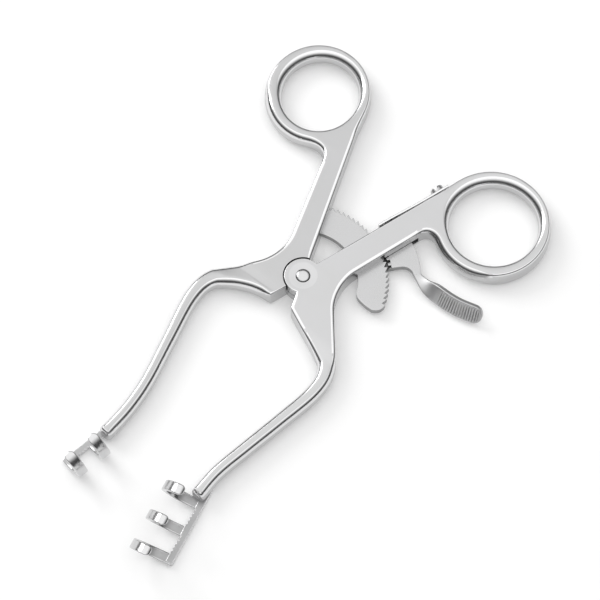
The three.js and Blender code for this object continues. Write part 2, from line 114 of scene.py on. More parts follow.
# ratchet bar, about the pivot screw: radii, and directions in degrees
RACK_INNER = 12.85
RACK_CREST = 20.2
RACK_MIDDLE = (RACK_INNER + RACK_CREST) / 2
RACK_LOW, RACK_HIGH = (measured(corner.z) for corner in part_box("ratchet_bar"))
RACK_CENTRE = (RACK_LOW + RACK_HIGH) / 2
RACK_END = 14.5                 # its round end
TOOTH_DEPTH = 0.85
TOOTH_PITCH = 4.0
TOOTH_LEAN = 0.4                # from a crest to the root behind it
TOOTH_COUNT = 23
FIRST_CREST = 20.3
TAIL_BEYOND = 3                 # plain stretch past the last crest, inside the left shank
SLOT_GAP = 0.2                  # above and below the bar in the right shank's slot
SLOT_INNER_GAP = 0.35
SLOT_BEFORE, SLOT_AFTER = -17, 26               # degrees either side of the shank's direction
RIVET_S = (14.6, 17.8)          # along the left shank
RIVET_O = -1.9
RIVET_RADIUS = 0.7

# catch: its teeth face the bar's, in the same directions
CATCH_PIVOT = next(tuple(measured(value) for value in joint["pos_m"][:2])
                   for joint in frame["joints"] if joint["name"] == "catch_pivot")
CATCH_PIN_RADIUS = 0.8
CATCH_FIRST = 47.2
CATCH_TEETH = 4
CATCH_DEPTH = 0.7
CATCH_CLEARANCE = 0.15
CATCH_GAP = (0.15, 1.9)         # start and end of a gap between teeth, in degrees from its tooth
CATCH_FACE = 2.1                # where the next tooth's face starts
SHADE_SHEET_REACH = 0.95                # a thin dark sheet under the teeth, painted shade, fills the gaps between them
SHADE_SHEET_BACK = 1.2
SHADE_SHEET_LOW, SHADE_SHEET_HIGH = 0.96, 1.06

# thumb tab: the line it follows, its section at the root and at the end, and its ribs
TAB_LINE = [(18.5, 18.75), (20.0, 17.9), (23.4, 17.0), (26.8, 16.8), (29.8, 16.8), (32.8, 17.1),
            (36.0, 17.9), (38.6, 18.7)]
TAB_STATIONS = 260
TAB_ROOT_HALF = 0.86            # half its height
TAB_ROOT_THICKNESS = 1.56
TAB_HALF = 2.45
TAB_THICKNESS = 1.3
TAB_LEAN = 30                   # degrees from upright
TAB_MIDDLE = 2.8
TWIST_START, TWIST_LENGTH = 1.0, 9.0
RIB_START, RIB_END = 10.9, 0.9  # distances from the tab's end
RIB_MARGIN = 0.5
RIB_PITCH = 0.63
RIB_DEPTH = 0.34

# leaf spring: offset of its inner face from the shank's line, and how it bows from there
SPRING_FACE = -1.0
SPRING_LINE = [(22.2, -0.3), (25.4, -0.28), (29.7, -0.12), (34.0, 0.0), (41.6, 0.0)]
SPRING_THICKNESS = 0.5
SPRING_LOW, SPRING_HIGH = 1.6, 5.0
SPRING_SCREW_S, SPRING_SCREW_Z = 39.2, 3.2
SPRING_SCREW_GAP = 0.03
DRIVER_SLOT = 0.25              # half its width
DRIVER_SLOT_FLOOR = 0.75        # above the strip

# prong rakes
PRONG_WIDTH = 2.6
PRONG_THICKNESS = 1.3
SOFT_CORNER = 0.3               # of the section of the prongs and the tab
HOOK_ROOT = 0.6
TIP_CROWN = 2.4                 # length over which a prong's back comes down to its tip
PRONG_STATIONS = 90
ROOT_THINNING = 0.04
BLASTED_BELOW = -52             # degrees: the prongs' lower part stays blasted
SPINE_WIDTH = 1.7
SPINE_FOOT = 4.4
FOOT_GAP = 0.3
SERRATIONS = 5
SERRATION_DEPTH = 0.35
# side: +1 where the left-hand side of the spine's direction is inboard. A prong's half circle is
# of that radius about a centre that far inboard, and from the bend on it curls in to its tip (both
# angles in degrees). Each prong: station on the spine, forward lean.
LEFT_RAKE = {"origin": (-12.8, -60.1), "angle": 259.4, "side": 1, "centre": 0.1, "tip": 69,
             "radius": 5.9, "bend": 69, "curl": 5.9, "prongs": [(1.6, 0.15), (8.4, 0.15)]}
RIGHT_RAKE = {"origin": (16.4, -58.2), "angle": 281.9, "side": -1, "centre": 1.75, "tip": 122,
              "radius": 6.13, "bend": 60, "curl": 2.2,
              "prongs": [(0, 0.23), (7.45, 0.29), (14.8, 0.358)]}

STEP = 0.35                     # spacing of points along an outline

# ------------------------------------------------------------------ table, light and camera
TABLE_HALF = 3.0                # metres
TABLE_DROP = 0.0002             # below the instrument's flat underside
TABLE_TONES = (0.80, 0.82)
TABLE_GLOW = 0.2
# the sky's brightness by height (sine of the elevation, 0 to 1)
SKY = [(0.0, 0.04), (0.4, 0.07), (0.6, 0.4), (0.8, 0.9), (0.9, 1.0), (1.0, 1.0)]
SKY_STRENGTH = 1.4
BACKDROP = 0.93
KEY_PLACE = (-1.0, 0.05, 0.66)  # metres
KEY_SIZE = 0.8
KEY_WATTS = 6.0
CAMERA_AZIMUTH = 38.5           # degrees
CAMERA_ELEVATION = 65.5
CAMERA_DISTANCE = 0.985         # metres
CAMERA_SCALE = 4.28             # image points per millimetre at the pivot
CAMERA_SHIFT = (-0.0007, -0.00572)      # metres, to the right and up from the pivot
IMAGE_WIDTH = 600
SENSOR_WIDTH = 36               # mm


def shank(angle, s, o):
    """A point in a shank's own frame: s along it from the pivot, o to its right."""
    a = math.radians(angle)
    return (s * math.cos(a) + o * math.sin(a), s * math.sin(a) - o * math.cos(a))


def polar(radius, degrees):
    """A point at a radius about the pivot screw, in a direction from +X."""
    a = math.radians(degrees)
    return (radius * math.cos(a), radius * math.sin(a))


# ------------------------------------------------------------------ outlines
class Outline:
    """A closed outline walked with the metal on its left. Each point carries its edge rounding."""

    def __init__(self, start, edge):
        self.points = [start]
        self.edges = [edge]
        self.cuts = {}

    def line(self, end, edge, soften=0.0):
        """Goes straight to a point; the corner there is softened over that length."""
        x0, y0 = self.points[-1]
        length = math.hypot(end[0] - x0, end[1] - y0)
        count = 0 if length < STEP / 50 else max(1, round(length / STEP))
        for i in range(1, count + 1):
            t = i / count
            self.points.append((x0 + (end[0] - x0) * t, y0 + (end[1] - y0) * t))
            self.edges.append(edge)
        if soften:
            self.cuts[len(self.points) - 1] = soften
        return self

    def follow(self, points, edge, soften=0.0):
        """Goes through a row of points, and softens the corner at the last one."""
        for point in points[:-1]:
            self.line(tuple(point), edge)
        return self.line(tuple(points[-1]), edge, soften)

    def finish(self, spread=1.2):
        """Points and edge values, with the marked corners eased into smooth curves."""
        points = np.array(self.points)
        edges = np.array(self.edges, float)
        if np.linalg.norm(points[0] - points[-1]) < STEP / 4:
            points, edges = points[:-1], edges[:-1]
        for index, reach in sorted(self.cuts.items(), reverse=True):
            first, last = index, index
            length = 0.0
            while length < reach:
                length += np.linalg.norm(points[first] - points[first - 1])
                first -= 1
            length = 0.0
            while length < reach:
                length += np.linalg.norm(points[(last + 1) % len(points)] - points[last])
                last += 1
            a, b = points[first], points[last % len(points)]
            out = (a - points[first - 1]) / np.linalg.norm(a - points[first - 1])
            back = b - points[(last + 1) % len(points)]
            back = back / np.linalg.norm(back)
            pull = 0.6 * reach
            count = max(4, int(2 * reach / STEP))
            t = np.linspace(0, 1, count + 1)[1:-1, None]
            eased = ((1 - t) ** 3 * a + 3 * (1 - t) ** 2 * t * (a + out * pull)
                     + 3 * (1 - t) * t ** 2 * (b + back * pull) + t ** 3 * b)
            blend = edges[first] * (1 - t) + edges[last % len(points)] * t
            points = np.vstack([points[:first + 1], eased, points[last:]])
            edges = np.vstack([edges[:first + 1], blend, edges[last:]])
        return points, smoothed(edges, spread / STEP)


def smoothed(values, width):
    """Values round a closed outline, averaged with a bell-shaped weight."""
    reach = max(1, int(3 * width))
    offsets = np.arange(-reach, reach + 1)
    weights = np.exp(-0.5 * (offsets / max(width, 0.1)) ** 2)
    weights /= weights.sum()
    return sum(w * np.roll(values, -o, axis=0) for w, o in zip(weights, offsets))


def oval(ring, angle, start, stop):
    """Points on a finger ring's outline from one direction to another, in degrees from +X."""
    x, y, along, across = ring
    turn = math.radians(angle)
    count = max(8, int(abs(stop - start) / 1.6))
    points = []
    for i in range(count + 1):
        a = math.radians(start + (stop - start) * i / count) - turn
        u, v = along * math.cos(a), across * math.sin(a)
        points.append((x + u * math.cos(turn) - v * math.sin(turn),
                       y + u * math.sin(turn) + v * math.cos(turn)))
    return points


def arc(radius, start, stop):
    """Points round the pivot screw from one direction to another."""
    count = max(4, int(abs(math.radians(stop - start)) * radius / STEP))
    return [polar(radius, start + (stop - start) * i / count) for i in range(count + 1)]


def catmull(stations, per_span=14):
    """A smooth run of values through given stations."""
    s = np.array(stations, float)
    s = np.vstack([2 * s[0] - s[1], s, 2 * s[-1] - s[-2]])
    out = []
    for i in range(1, len(s) - 2):
        for t in np.linspace(0, 1, per_span, endpoint=False):
            out.append(0.5 * (2 * s[i] + (s[i + 1] - s[i - 1]) * t
                              + (2 * s[i - 1] - 5 * s[i] + 4 * s[i + 1] - s[i + 2]) * t ** 2
                              + (3 * s[i] - s[i - 1] - 3 * s[i + 1] + s[i + 2]) * t ** 3))
    out.append(s[-2])
    return np.array(out)


def bar_sides(stations):
    """Both sides of a bowed bar, from where it leaves the shank to its end."""
    run = catmull(stations)
    along = np.gradient(run[:, :2], axis=0)
    along /= np.linalg.norm(along, axis=1)[:, None]
    across = np.column_stack([-along[:, 1], along[:, 0]]) * run[:, 2:3] / 2
    return (run[:, :2] + across)[BAR_INSIDE:], (run[:, :2] - across)[BAR_INSIDE:]


def curve(start, pull, end, steps=10):
    """A quadratic curve without its first point."""
    a, b, c = map(np.array, (start, pull, end))
    return [tuple((1 - t) ** 2 * a + 2 * (1 - t) * t * b + t * t * c)
            for t in np.linspace(0, 1, steps + 1)[1:]]


def turned_left(loop, edges):
    """The same outline with its metal on the left."""
    x, y = loop[:, 0], loop[:, 1]
    area = np.sum(x * np.roll(y, -1) - np.roll(x, -1) * y)
    return (loop, edges) if area > 0 else (loop[::-1], edges[::-1])


def closed(points, edge, spread=0.1):
    """A loop straight through the points, with the same edge all round."""
    outline = Outline(points[0], edge).follow(points[1:] + points[:1], edge)
    return turned_left(*outline.finish(spread))


# ------------------------------------------------------------------ meshes
def make_object(name, vertices, faces, kinds, materials):
    """An object from plain lists; each face's kind is the number of its material."""
    mesh = bpy.data.meshes.new(name)
    mesh.from_pydata([tuple(v) for v in vertices], [], faces)
    for material in materials:
        mesh.materials.append(material)
    mesh.polygons.foreach_set("material_index", kinds)
    mesh.polygons.foreach_set("use_smooth", [True] * len(faces))
    mesh.update()
    piece = bpy.data.objects.new(name, mesh)
    bpy.context.scene.collection.objects.link(piece)
    return piece


def slab_parts(loops, low, high, steps):
    """Vertices, faces and kinds of a plate whose edges round off as each loop's edges say.
    Kind 0 is the flat faces, kind 1 the rounded edges and kind 2 the side walls."""
    vertices, faces, kinds = [], [], []
    tops, bottoms = [], []
    for points, edges in loops:
        count = len(points)
        along = np.roll(points, -1, axis=0) - np.roll(points, 1, axis=0)
        along /= np.linalg.norm(along, axis=1)[:, None]
        inward = np.column_stack([-along[:, 1], along[:, 0]])
        first = len(vertices)
        rows = 2 * steps + 2
        for row in range(rows):
            upper = row > steps
            a = math.pi / 2 * (row - (steps + 1 if upper else steps)) / steps
            place = points + inward * (edges[:, 0] * (1 - math.cos(a)))[:, None]
            if upper:
                z = high - edges[:, 2] - edges[:, 1] * (1 - math.sin(a))
            else:
                z = low + edges[:, 2] + edges[:, 1] * (1 + math.sin(a))
            vertices.extend(np.column_stack([place, z]).tolist())
        for row in range(rows - 1):
            a, b = first + row * count, first + (row + 1) * count
            turn = math.pi / 2 * max(0, row - steps) / steps
            slope = np.degrees(np.arctan2(edges[:, 0] * math.sin(turn),
                                          edges[:, 1] * math.cos(turn)))
            for i in range(count):
                j = (i + 1) % count
                faces.append((a + i, a + j, b + j, b + i))
                broad = edges[i, 0] > WIDE_EDGE
                kinds.append(0 if broad and slope[i] > FLAT_SLOPE else
                             1 if slope[i] > WALL_SLOPE else 2)
        bottoms.append(range(first, first + count))
        tops.append(range(first + (rows - 1) * count, first + rows * count))
    for rims, up in ((tops, True), (bottoms, False)):
        order = [i for rim in rims for i in rim]
        flat = [[Vector((vertices[i][0], vertices[i][1], 0)) for i in rim] for rim in rims]
        for a, b, c in tessellate_polygon(flat):
            a, b, c = order[a], order[b], order[c]
            (xa, ya, _), (xb, yb, _), (xc, yc, _) = vertices[a], vertices[b], vertices[c]
            turning = (xb - xa) * (yc - ya) - (xc - xa) * (yb - ya)
            faces.append((a, b, c) if (turning > 0) == up else (a, c, b))
            kinds.append(0)
    return vertices, faces, kinds


def slab(name, loops, low, high, materials, steps=7):
    """A plate. With fewer than three materials, the last one serves the other kinds too."""
    materials = (materials + materials[-1:] * 2)[:3]
    return make_object(name, *slab_parts(loops, low, high, steps), materials)


def lathe(name, profile, material, segments=64):
    """A body turned about the Z axis from (radius, height) points that start and end on it."""
    vertices, faces = [], []
    rings = []
    for radius, z in profile:
        if radius < 1e-6:
            rings.append([len(vertices)])
            vertices.append((0, 0, z))
            continue
        rings.append(list(range(len(vertices), len(vertices) + segments)))
        for i in range(segments):
            a = 2 * math.pi * i / segments
            vertices.append((radius * math.cos(a), radius * math.sin(a), z))
    for lower, upper in zip(rings, rings[1:]):
        for i in range(segments):
            j = (i + 1) % segments
            quad = [lower[i % len(lower)], lower[j % len(lower)],
                    upper[j % len(upper)], upper[i % len(upper)]]
            faces.append(tuple(dict.fromkeys(quad)))
    return make_object(name, vertices, faces, [0] * len(faces), [material])


def moved(piece, x=0.0, y=0.0, z=0.0, turn=None):
    """Turns the mesh itself (a 4 x 4 matrix) and then shifts it, in millimetres."""
    if turn is not None:
        piece.data.transform(turn)
    piece.data.transform(Matrix.Translation((x, y, z)))
    return piece


def cut(piece, *tools):
    """Takes the tools' shapes out of the piece, and removes the tools."""
    for tool in tools:
        modifier = piece.modifiers.new("cut", "BOOLEAN")
        modifier.operation = "DIFFERENCE"
        modifier.solver = "EXACT"
        modifier.material_mode = "TRANSFER"
        modifier.object = tool
    depsgraph = bpy.context.evaluated_depsgraph_get()
    mesh = bpy.data.meshes.new_from_object(piece.evaluated_get(depsgraph))
    piece.modifiers.clear()
    piece.data = mesh
    for tool in tools:
        bpy.data.objects.remove(tool)
    return piece


def join(name, pieces):
    """Several shells as one object that keeps their materials."""
    vertices, faces, kinds, materials = [], [], [], []
    for piece in pieces:
        first = len(vertices)
        vertices.extend(tuple(v.co) for v in piece.data.vertices)
        for material in piece.data.materials:
            if material not in materials:
                materials.append(material)
        for polygon in piece.data.polygons:
            faces.append(tuple(first + i for i in polygon.vertices))
            kinds.append(materials.index(piece.data.materials[polygon.material_index]))
    for piece in pieces:
        bpy.data.objects.remove(piece)
    return make_object(name, vertices, faces, kinds, materials)


def finish_piece(piece, body, node, sharp=35):
    """Metres, clean shading and the body that the piece rides on; hides the CAD node it stands for."""
    piece.data.transform(Matrix.Scale(0.001, 4))
    piece.data.set_sharp_from_angle(angle=math.radians(sharp))
    shading = piece.modifiers.new("even shading", "WEIGHTED_NORMAL")
    shading.keep_sharp = True
    depsgraph = bpy.context.evaluated_depsgraph_get()
    mesh = bpy.data.meshes.new_from_object(piece.evaluated_get(depsgraph))
    piece.modifiers.clear()
    piece.data = mesh
    piece.data.name = piece.name
    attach(piece, body)
    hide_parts(node)
    return piece


# ------------------------------------------------------------------ materials
CLOUD_SCALE = 90.0              # clouds of about a centimetre
SPECKLE = 0.03                  # how much the grain changes the roughness
STREAK_STRETCH = (1.0, 0.04, 1.0)       # brush marks run along Y
GRAIN_HEIGHT = 0.00002          # metres


def steel(name, shade, roughness, grain, grain_size, streak=0.0, cloud=0.06):
    """Stainless steel: fine blasted or polished grain (its size in metres), faint clouds in its
    gloss and tone, and where it is brushed, streaks."""
    material = bpy.data.materials.new(name)
    material.use_nodes = True
    nodes, links = material.node_tree.nodes, material.node_tree.links
    shader = nodes["Principled BSDF"]
    shader.inputs["Metallic"].default_value = 1.0
    place = nodes.new("ShaderNodeTexCoord")

    def noise(scale, detail, stretch=(1, 1, 1)):
        mapping = nodes.new("ShaderNodeMapping")
        mapping.inputs["Scale"].default_value = stretch
        links.new(place.outputs["Object"], mapping.inputs["Vector"])
        texture = nodes.new("ShaderNodeTexNoise")
        texture.inputs["Scale"].default_value = scale
        texture.inputs["Detail"].default_value = detail
        links.new(mapping.outputs["Vector"], texture.inputs["Vector"])
        return texture.outputs["Fac"]

    def spread(source, low, high):
        ramp = nodes.new("ShaderNodeMapRange")
        ramp.inputs["From Min"].default_value = 0.25
        ramp.inputs["From Max"].default_value = 0.75
        ramp.inputs["To Min"].default_value = low
        ramp.inputs["To Max"].default_value = high
        links.new(source, ramp.inputs["Value"])
        return ramp.outputs["Result"]

    clouds = noise(CLOUD_SCALE, 4.0)
    tone = nodes.new("ShaderNodeMix")
    tone.data_type = "RGBA"
    tone.inputs["A"].default_value = (*[shade * (1 - cloud)] * 3, 1)
    tone.inputs["B"].default_value = (shade, shade, shade * 1.01, 1)
    links.new(spread(clouds, 0.0, 1.0), tone.inputs["Factor"])
    links.new(tone.outputs["Result"], shader.inputs["Base Color"])

    speckle = noise(1 / grain_size, 2.0)
    mix = nodes.new("ShaderNodeMath")
    mix.operation = "ADD"
    links.new(spread(clouds, roughness * 0.86, roughness * 1.04), mix.inputs[0])
    links.new(spread(speckle, -SPECKLE, SPECKLE), mix.inputs[1])
    links.new(mix.outputs["Value"], shader.inputs["Roughness"])

    height = speckle
    if streak:
        lines = noise(1 / grain_size, 2.0, stretch=STREAK_STRETCH)
        blend = nodes.new("ShaderNodeMix")
        blend.inputs["Factor"].default_value = streak
        links.new(speckle, blend.inputs["A"])
        links.new(lines, blend.inputs["B"])
        height = blend.outputs["Result"]
    bump = nodes.new("ShaderNodeBump")
    bump.inputs["Strength"].default_value = grain
    bump.inputs["Distance"].default_value = GRAIN_HEIGHT
    links.new(height, bump.inputs["Height"])
    links.new(bump.outputs["Normal"], shader.inputs["Normal"])
    return material


SATIN = steel("satin steel", shade=0.53, roughness=0.36, grain=0.4, grain_size=0.00016)
# Painted shade: the same satin steel made a little darker, so that the left arm and its rivets look
# less lit than the right arm.
SATIN_SHADED_LEFT = steel("satin steel, painted darker as shade on the left arm", shade=0.49, roughness=0.36, grain=0.4,
                   grain_size=0.00016)
POLISHED = steel("polished steel", shade=0.74, roughness=0.16, grain=0.1, grain_size=0.0004,
                 cloud=0.03)
POLISHED_HOOK = steel("polished steel of the prongs", shade=0.62, roughness=0.2, grain=0.1,
                      grain_size=0.0004, cloud=0.03)
# Painted shade: the rounded edges and side walls of the ratchet bar and the catch plate are painted
# dark, for the shadow along them.
SHADED_EDGE = steel("edge steel painted dark for shade", shade=0.30, roughness=0.34, grain=0.3, grain_size=0.0002)
# Painted shade: the plates' side walls are painted darker than their rounded edges, for the dim
# surroundings they reflect.
SHADED_WALL = steel("side-wall steel, painted darker for shade", shade=0.56, roughness=0.24, grain=0.2, grain_size=0.0003)
MATTE = steel("matte steel", shade=0.56, roughness=0.5, grain=0.4, grain_size=0.0002)
BLASTED = steel("blasted steel", shade=0.40, roughness=0.42, grain=0.9, grain_size=0.0003)
BRUSHED = steel("brushed steel", shade=0.50, roughness=0.30, grain=0.08, grain_size=0.0002,
                streak=0.7)
# Painted shade: the cut walls of the screw holes, the lap recess, the rack slot and the driver slot
# take this dark steel, and so does the dark sheet under the catch's teeth.
SHADED_RECESS = steel("steel painted dark for shade in recesses", shade=0.30, roughness=0.5, grain=0.5, grain_size=0.0002)
# The dish's steel, a little lighter than the satin: partly its turned finish, partly a painted sheen
# round the screw.
TURNED_WITH_SHEEN = steel("turned steel, painted lighter for sheen", shade=0.57, roughness=0.34, grain=0.15, grain_size=0.0002)
BUTTON = steel("screw steel", shade=0.58, roughness=0.24, grain=0.15, grain_size=0.0003)


# ------------------------------------------------------------------ arms
def ring_hole(hole, angle):
    """A finger ring's hole, rounded more on its far side."""
    far_side = oval(hole, angle, FAR_FROM, FAR_TO)
    near_side = oval(hole, angle, FAR_TO, FAR_FROM - 360 + 2)     # a step short of the start
    outline = Outline(far_side[0], HOLE).follow(far_side, HOLE_FAR).follow(near_side, HOLE)
    return outline.finish(spread=3.0)


def screw_hole():
    radius = SCREW_RADIUS + SCREW_GAP
    profile = [(0, TOOL_LOW), (radius, TOOL_LOW), (radius, TOOL_HIGH), (0, TOOL_HIGH)]
    return lathe("screw_hole", profile, SHADED_RECESS)


def lap_recess(low, high):
    """The round room in one arm for the other arm's half of the lap joint."""
    profile = [(0, low), (RECESS_RADIUS, low), (RECESS_RADIUS, high), (0, high)]
    return lathe("recess", profile, SHADED_RECESS)


def screw_dish():
    """A shallow dish round the pivot screw's head, in turned steel painted lighter as a sheen."""
    floor = THICKNESS - DISH_DEPTH
    profile = [(0, floor), (DISH_RADIUS * 0.6, floor + DISH_DEPTH * 0.3), (DISH_RADIUS, THICKNESS),
               (DISH_RADIUS, TOOL_HIGH), (0, TOOL_HIGH)]
    return lathe("dish", profile, TURNED_WITH_SHEEN)


def bar_foot(rake):
    """The room under a bar's end that the rake's spine takes."""
    back, reach = -SPINE_FOOT - FOOT_GAP, 6
    corners = [(back, -reach), (reach, -reach), (reach, reach), (back, reach)]
    foot = slab("foot", [closed(corners, HUB)], TOOL_LOW, PRONG_THICKNESS + 0.02, [BLASTED], steps=1)
    return in_rake(foot, rake)


def rack_slot():
    """The slot through the right shank that the ratchet bar and the catch lie in."""
    near = RACK_INNER - SLOT_INNER_GAP
    before, after = SHANK_RIGHT + SLOT_BEFORE, SHANK_RIGHT + SLOT_AFTER
    outline = Outline(polar(near, before), HUB)
    outline.line(shank(SHANK_RIGHT, 29, 9), HUB).line(shank(SHANK_RIGHT, 28, -6), HUB)
    outline.line(polar(near, after), HUB).follow(arc(near, after, before), HUB)
    return slab("slot", [outline.finish()], RACK_LOW - SLOT_GAP, RACK_HIGH + SLOT_GAP, [SHADED_RECESS],
                steps=1)


def left_arm():
    """Up the shank's inner side, round the ring, down to the bar and back along it to the hub."""
    inboard, outboard = bar_sides(LEFT_BAR)
    start = shank(SHANK_LEFT, SHANK_START, LEFT_INNER_EDGE)
    outline = Outline(start, PLATE)
    outline.line(shank(SHANK_LEFT, 42.6, LEFT_INNER_EDGE), PLATE, soften=3.0)
    outline.follow(oval(LEFT_RING, SHANK_LEFT, 1, 215), RING)
    outline.follow(oval(LEFT_RING, SHANK_LEFT, 215, 321), RING_UNDER, soften=5.5)
    outline.line((-14.9, 25.6), PLATE).line((-8.9, 7.2), PLATE)
    outline.line((-6.9, 0.9), PLATE, soften=6.5).line((-12.6, -5.4), PLATE)
    outline.follow(outboard, BAR).line(tuple(outboard[-1]), BAR_END, soften=1.0)
    outline.line(tuple(inboard[-1]), BAR_END, soften=1.0).follow(inboard[::-1], BAR)
    outline.line((-9.9, -10.5), WAIST, soften=2.5).line((-4.6, -9.1), WAIST)
    outline.line((-2.9, -8.6), PLATE)
    outline.follow(arc(DISC_RADIUS, 251.4, 467.5), HUB).line(start, PLATE)
    arm = slab("left_forging", [outline.finish(), ring_hole(LEFT_HOLE, SHANK_LEFT)],
               0, THICKNESS, [SATIN_SHADED_LEFT, POLISHED, SHADED_WALL])
    return cut(arm, lap_recess(HALF - LAP_GAP / 2, TOOL_HIGH), screw_hole(), bar_foot(LEFT_RAKE))


def right_arm():
    """Round the hub, down the bar and back, up the shank's outer side and round the ring."""
    outboard, inboard = bar_sides(RIGHT_BAR)
    start = shank(SHANK_RIGHT, SHANK_START, RIGHT_INNER_EDGE)
    outline = Outline(start, CRISP)
    outline.follow(arc(DISC_RADIUS, 81.6, 288.1), HUB)
    outline.line((2.7, -8.3), PLATE, soften=0.5).line((12.0, -12.6), PLATE, soften=4.0)
    outline.follow(inboard, BAR).line(tuple(inboard[-1]), BAR_END, soften=1.0)
    outline.line(tuple(outboard[-1]), BAR_END, soften=1.0).follow(outboard[::-1], BAR)
    outline.line((12.4, -3.9), PLATE).line((7.0, 2.6), PLATE, soften=6.0)
    outline.line(shank(SHANK_RIGHT, 32.66, RIGHT_OUTER_EDGE), PLATE, soften=3.7)
    outline.follow(oval(RIGHT_RING, SHANK_RIGHT, 220.7, 300), RING_UNDER)
    outline.follow(oval(RIGHT_RING, SHANK_RIGHT, 300, 537.7), RING, soften=3.0)
    outline.line(start, CRISP)
    arm = slab("right_forging", [outline.finish(), ring_hole(RIGHT_HOLE, SHANK_RIGHT)],
               0, THICKNESS, [SATIN, POLISHED, SHADED_WALL])
    return cut(arm, lap_recess(TOOL_LOW, HALF + LAP_GAP / 2), screw_dish(), screw_hole(),
               rack_slot(), bar_foot(RIGHT_RAKE))


# ------------------------------------------------------------------ prong rakes
def in_rake(piece, rake):
    """Moves a piece made along a spine from the origin to its place on the arm."""
    return moved(piece, *rake["origin"],
                 turn=Matrix.Rotation(math.radians(rake["angle"]), 4, "Z"))


def rounded_box(half_long, half_thick, per_corner=5, per_side=1):
    """A rounded rectangle's outline: points (along its length, along its thickness)."""
    corner = min(SOFT_CORNER, half_long * 0.98, half_thick * 0.98)
    points = []
    for turn, (sx, sy) in enumerate(((1, 1), (-1, 1), (-1, -1), (1, -1))):
        for i in range(per_corner + 1):
            a = math.radians(90 * (turn + i / per_corner))
            points.append((sx * (half_long - corner) + corner * math.cos(a),
                           sy * (half_thick - corner) + corner * math.sin(a)))
        if turn % 2 == 0:
            for i in range(1, per_side):
                t = 1 - 2 * i / per_side
                points.append((sx * t * (half_long - corner), sy * half_thick))
    return points


def sweep(name, rings, kinds, materials, edges=()):
    """A skin over a row of closed rings of points, capped at both ends. Where edges are given,
    kind 0 stays on those sides alone, and the others are kind 1."""
    count = len(rings[0])
    vertices = [p for ring in rings for p in ring]
    faces, face_kinds = [], []
    for k in range(len(rings) - 1):
        for i in range(count):
            j = (i + 1) % count
            a, b = k * count, (k + 1) * count
            faces.append((a + i, a + j, b + j, b + i))
            face_kinds.append(kinds[k] if kinds[k] != 0 or not edges or i in edges else 1)
    faces.append(tuple(range(count))[::-1])
    faces.append(tuple(range((len(rings) - 1) * count, len(rings) * count)))
    return make_object(name, vertices, faces, face_kinds + [kinds[0], kinds[-1]], materials)


def prong(rake, station, lean):
    """A half circle that bulges inboard from the spine and hooks back, with a round tip. Its root
    is a touch thinner than the spine, so that their faces don't coincide."""
    side, centre, radius = rake["side"], rake["centre"], rake["radius"]
    height = PRONG_THICKNESS / 2 + radius
    path = [(-HOOK_ROOT + (centre + HOOK_ROOT) * t, PRONG_THICKNESS / 2, -90)
            for t in np.linspace(0, 1, 5)[:-1]]
    bend, curl = rake["bend"], rake["curl"]
    bx, bz = polar(radius - curl, bend)
    for a in -90 + (rake["tip"] + 90) * (1 - (1 - np.linspace(0, 1, PRONG_STATIONS)) ** 1.5):
        x, z = polar(radius, a) if a < bend else polar(curl, a)
        path.append((centre + x + (bx if a >= bend else 0.0),
                     height + z + (bz if a >= bend else 0.0), a))
    lengths = [0.0]
    for (y0, z0, _), (y1, z1, _) in zip(path, path[1:]):
        lengths.append(lengths[-1] + math.hypot(y1 - y0, z1 - z0))
    rings, kinds = [], []
    for (y, z, a), s in zip(path, lengths):
        left = lengths[-1] - s
        reach = PRONG_WIDTH / 2
        tip = math.sqrt(max(0.004, 1 - max(0.0, 1 - left / reach) ** 2.2))
        crown = math.sqrt(max(0.004, 1 - max(0.0, 1 - left / TIP_CROWN) ** 2))
        sunk = ROOT_THINNING * min(1.0, max(0.0, (-75 - a) / 15))
        ring = []
        for u, v in rounded_box(reach * tip, PRONG_THICKNESS / 2 - sunk):
            v *= crown if v > 0 else 0.5 + 0.5 * crown
            out = (math.cos(math.radians(a)) * v, math.sin(math.radians(a)) * v)
            ring.append((station + u + lean * (z + out[1]), side * (y + out[0]), z + out[1]))
        rings.append(ring if side > 0 else ring[::-1])
        kinds.append(0 if a < BLASTED_BELOW else 1)
    count = len(rings[0])
    flats = (5, 17) if side > 0 else (count - 7, count - 19)    # outer and inner face
    return sweep("hook", rings, kinds, [BLASTED, POLISHED_HOOK], flats)


def rake_piece(rake, name):
    """A spine with fine serrations between its prongs."""
    half = PRONG_WIDTH / 2
    side = rake["side"]
    edge = SPINE_WIDTH / 2
    stations = [station for station, _ in rake["prongs"]]
    end = stations[-1] + half
    points = [(-SPINE_FOOT, -edge), (end, -edge), (end, edge)]
    for gap in range(len(stations) - 1, 0, -1):
        start = stations[gap] - half
        pitch = (start - stations[gap - 1] - half) / SERRATIONS
        for i in range(SERRATIONS):
            points += [(start - i * pitch - 0.08, edge),
                       (start - (i + 0.5) * pitch, edge - SERRATION_DEPTH)]
        points.append((stations[gap - 1] + half, edge))
    points.append((-SPINE_FOOT, edge))
    loop = closed([(x, side * y) for x, y in points], SPINE_EDGE, spread=0.2)
    spine = slab("spine", [loop], 0, PRONG_THICKNESS, [BLASTED, POLISHED], steps=3)
    hooks = [prong(rake, station, lean) for station, lean in rake["prongs"]]
    return in_rake(join(name, [spine, *hooks]), rake)


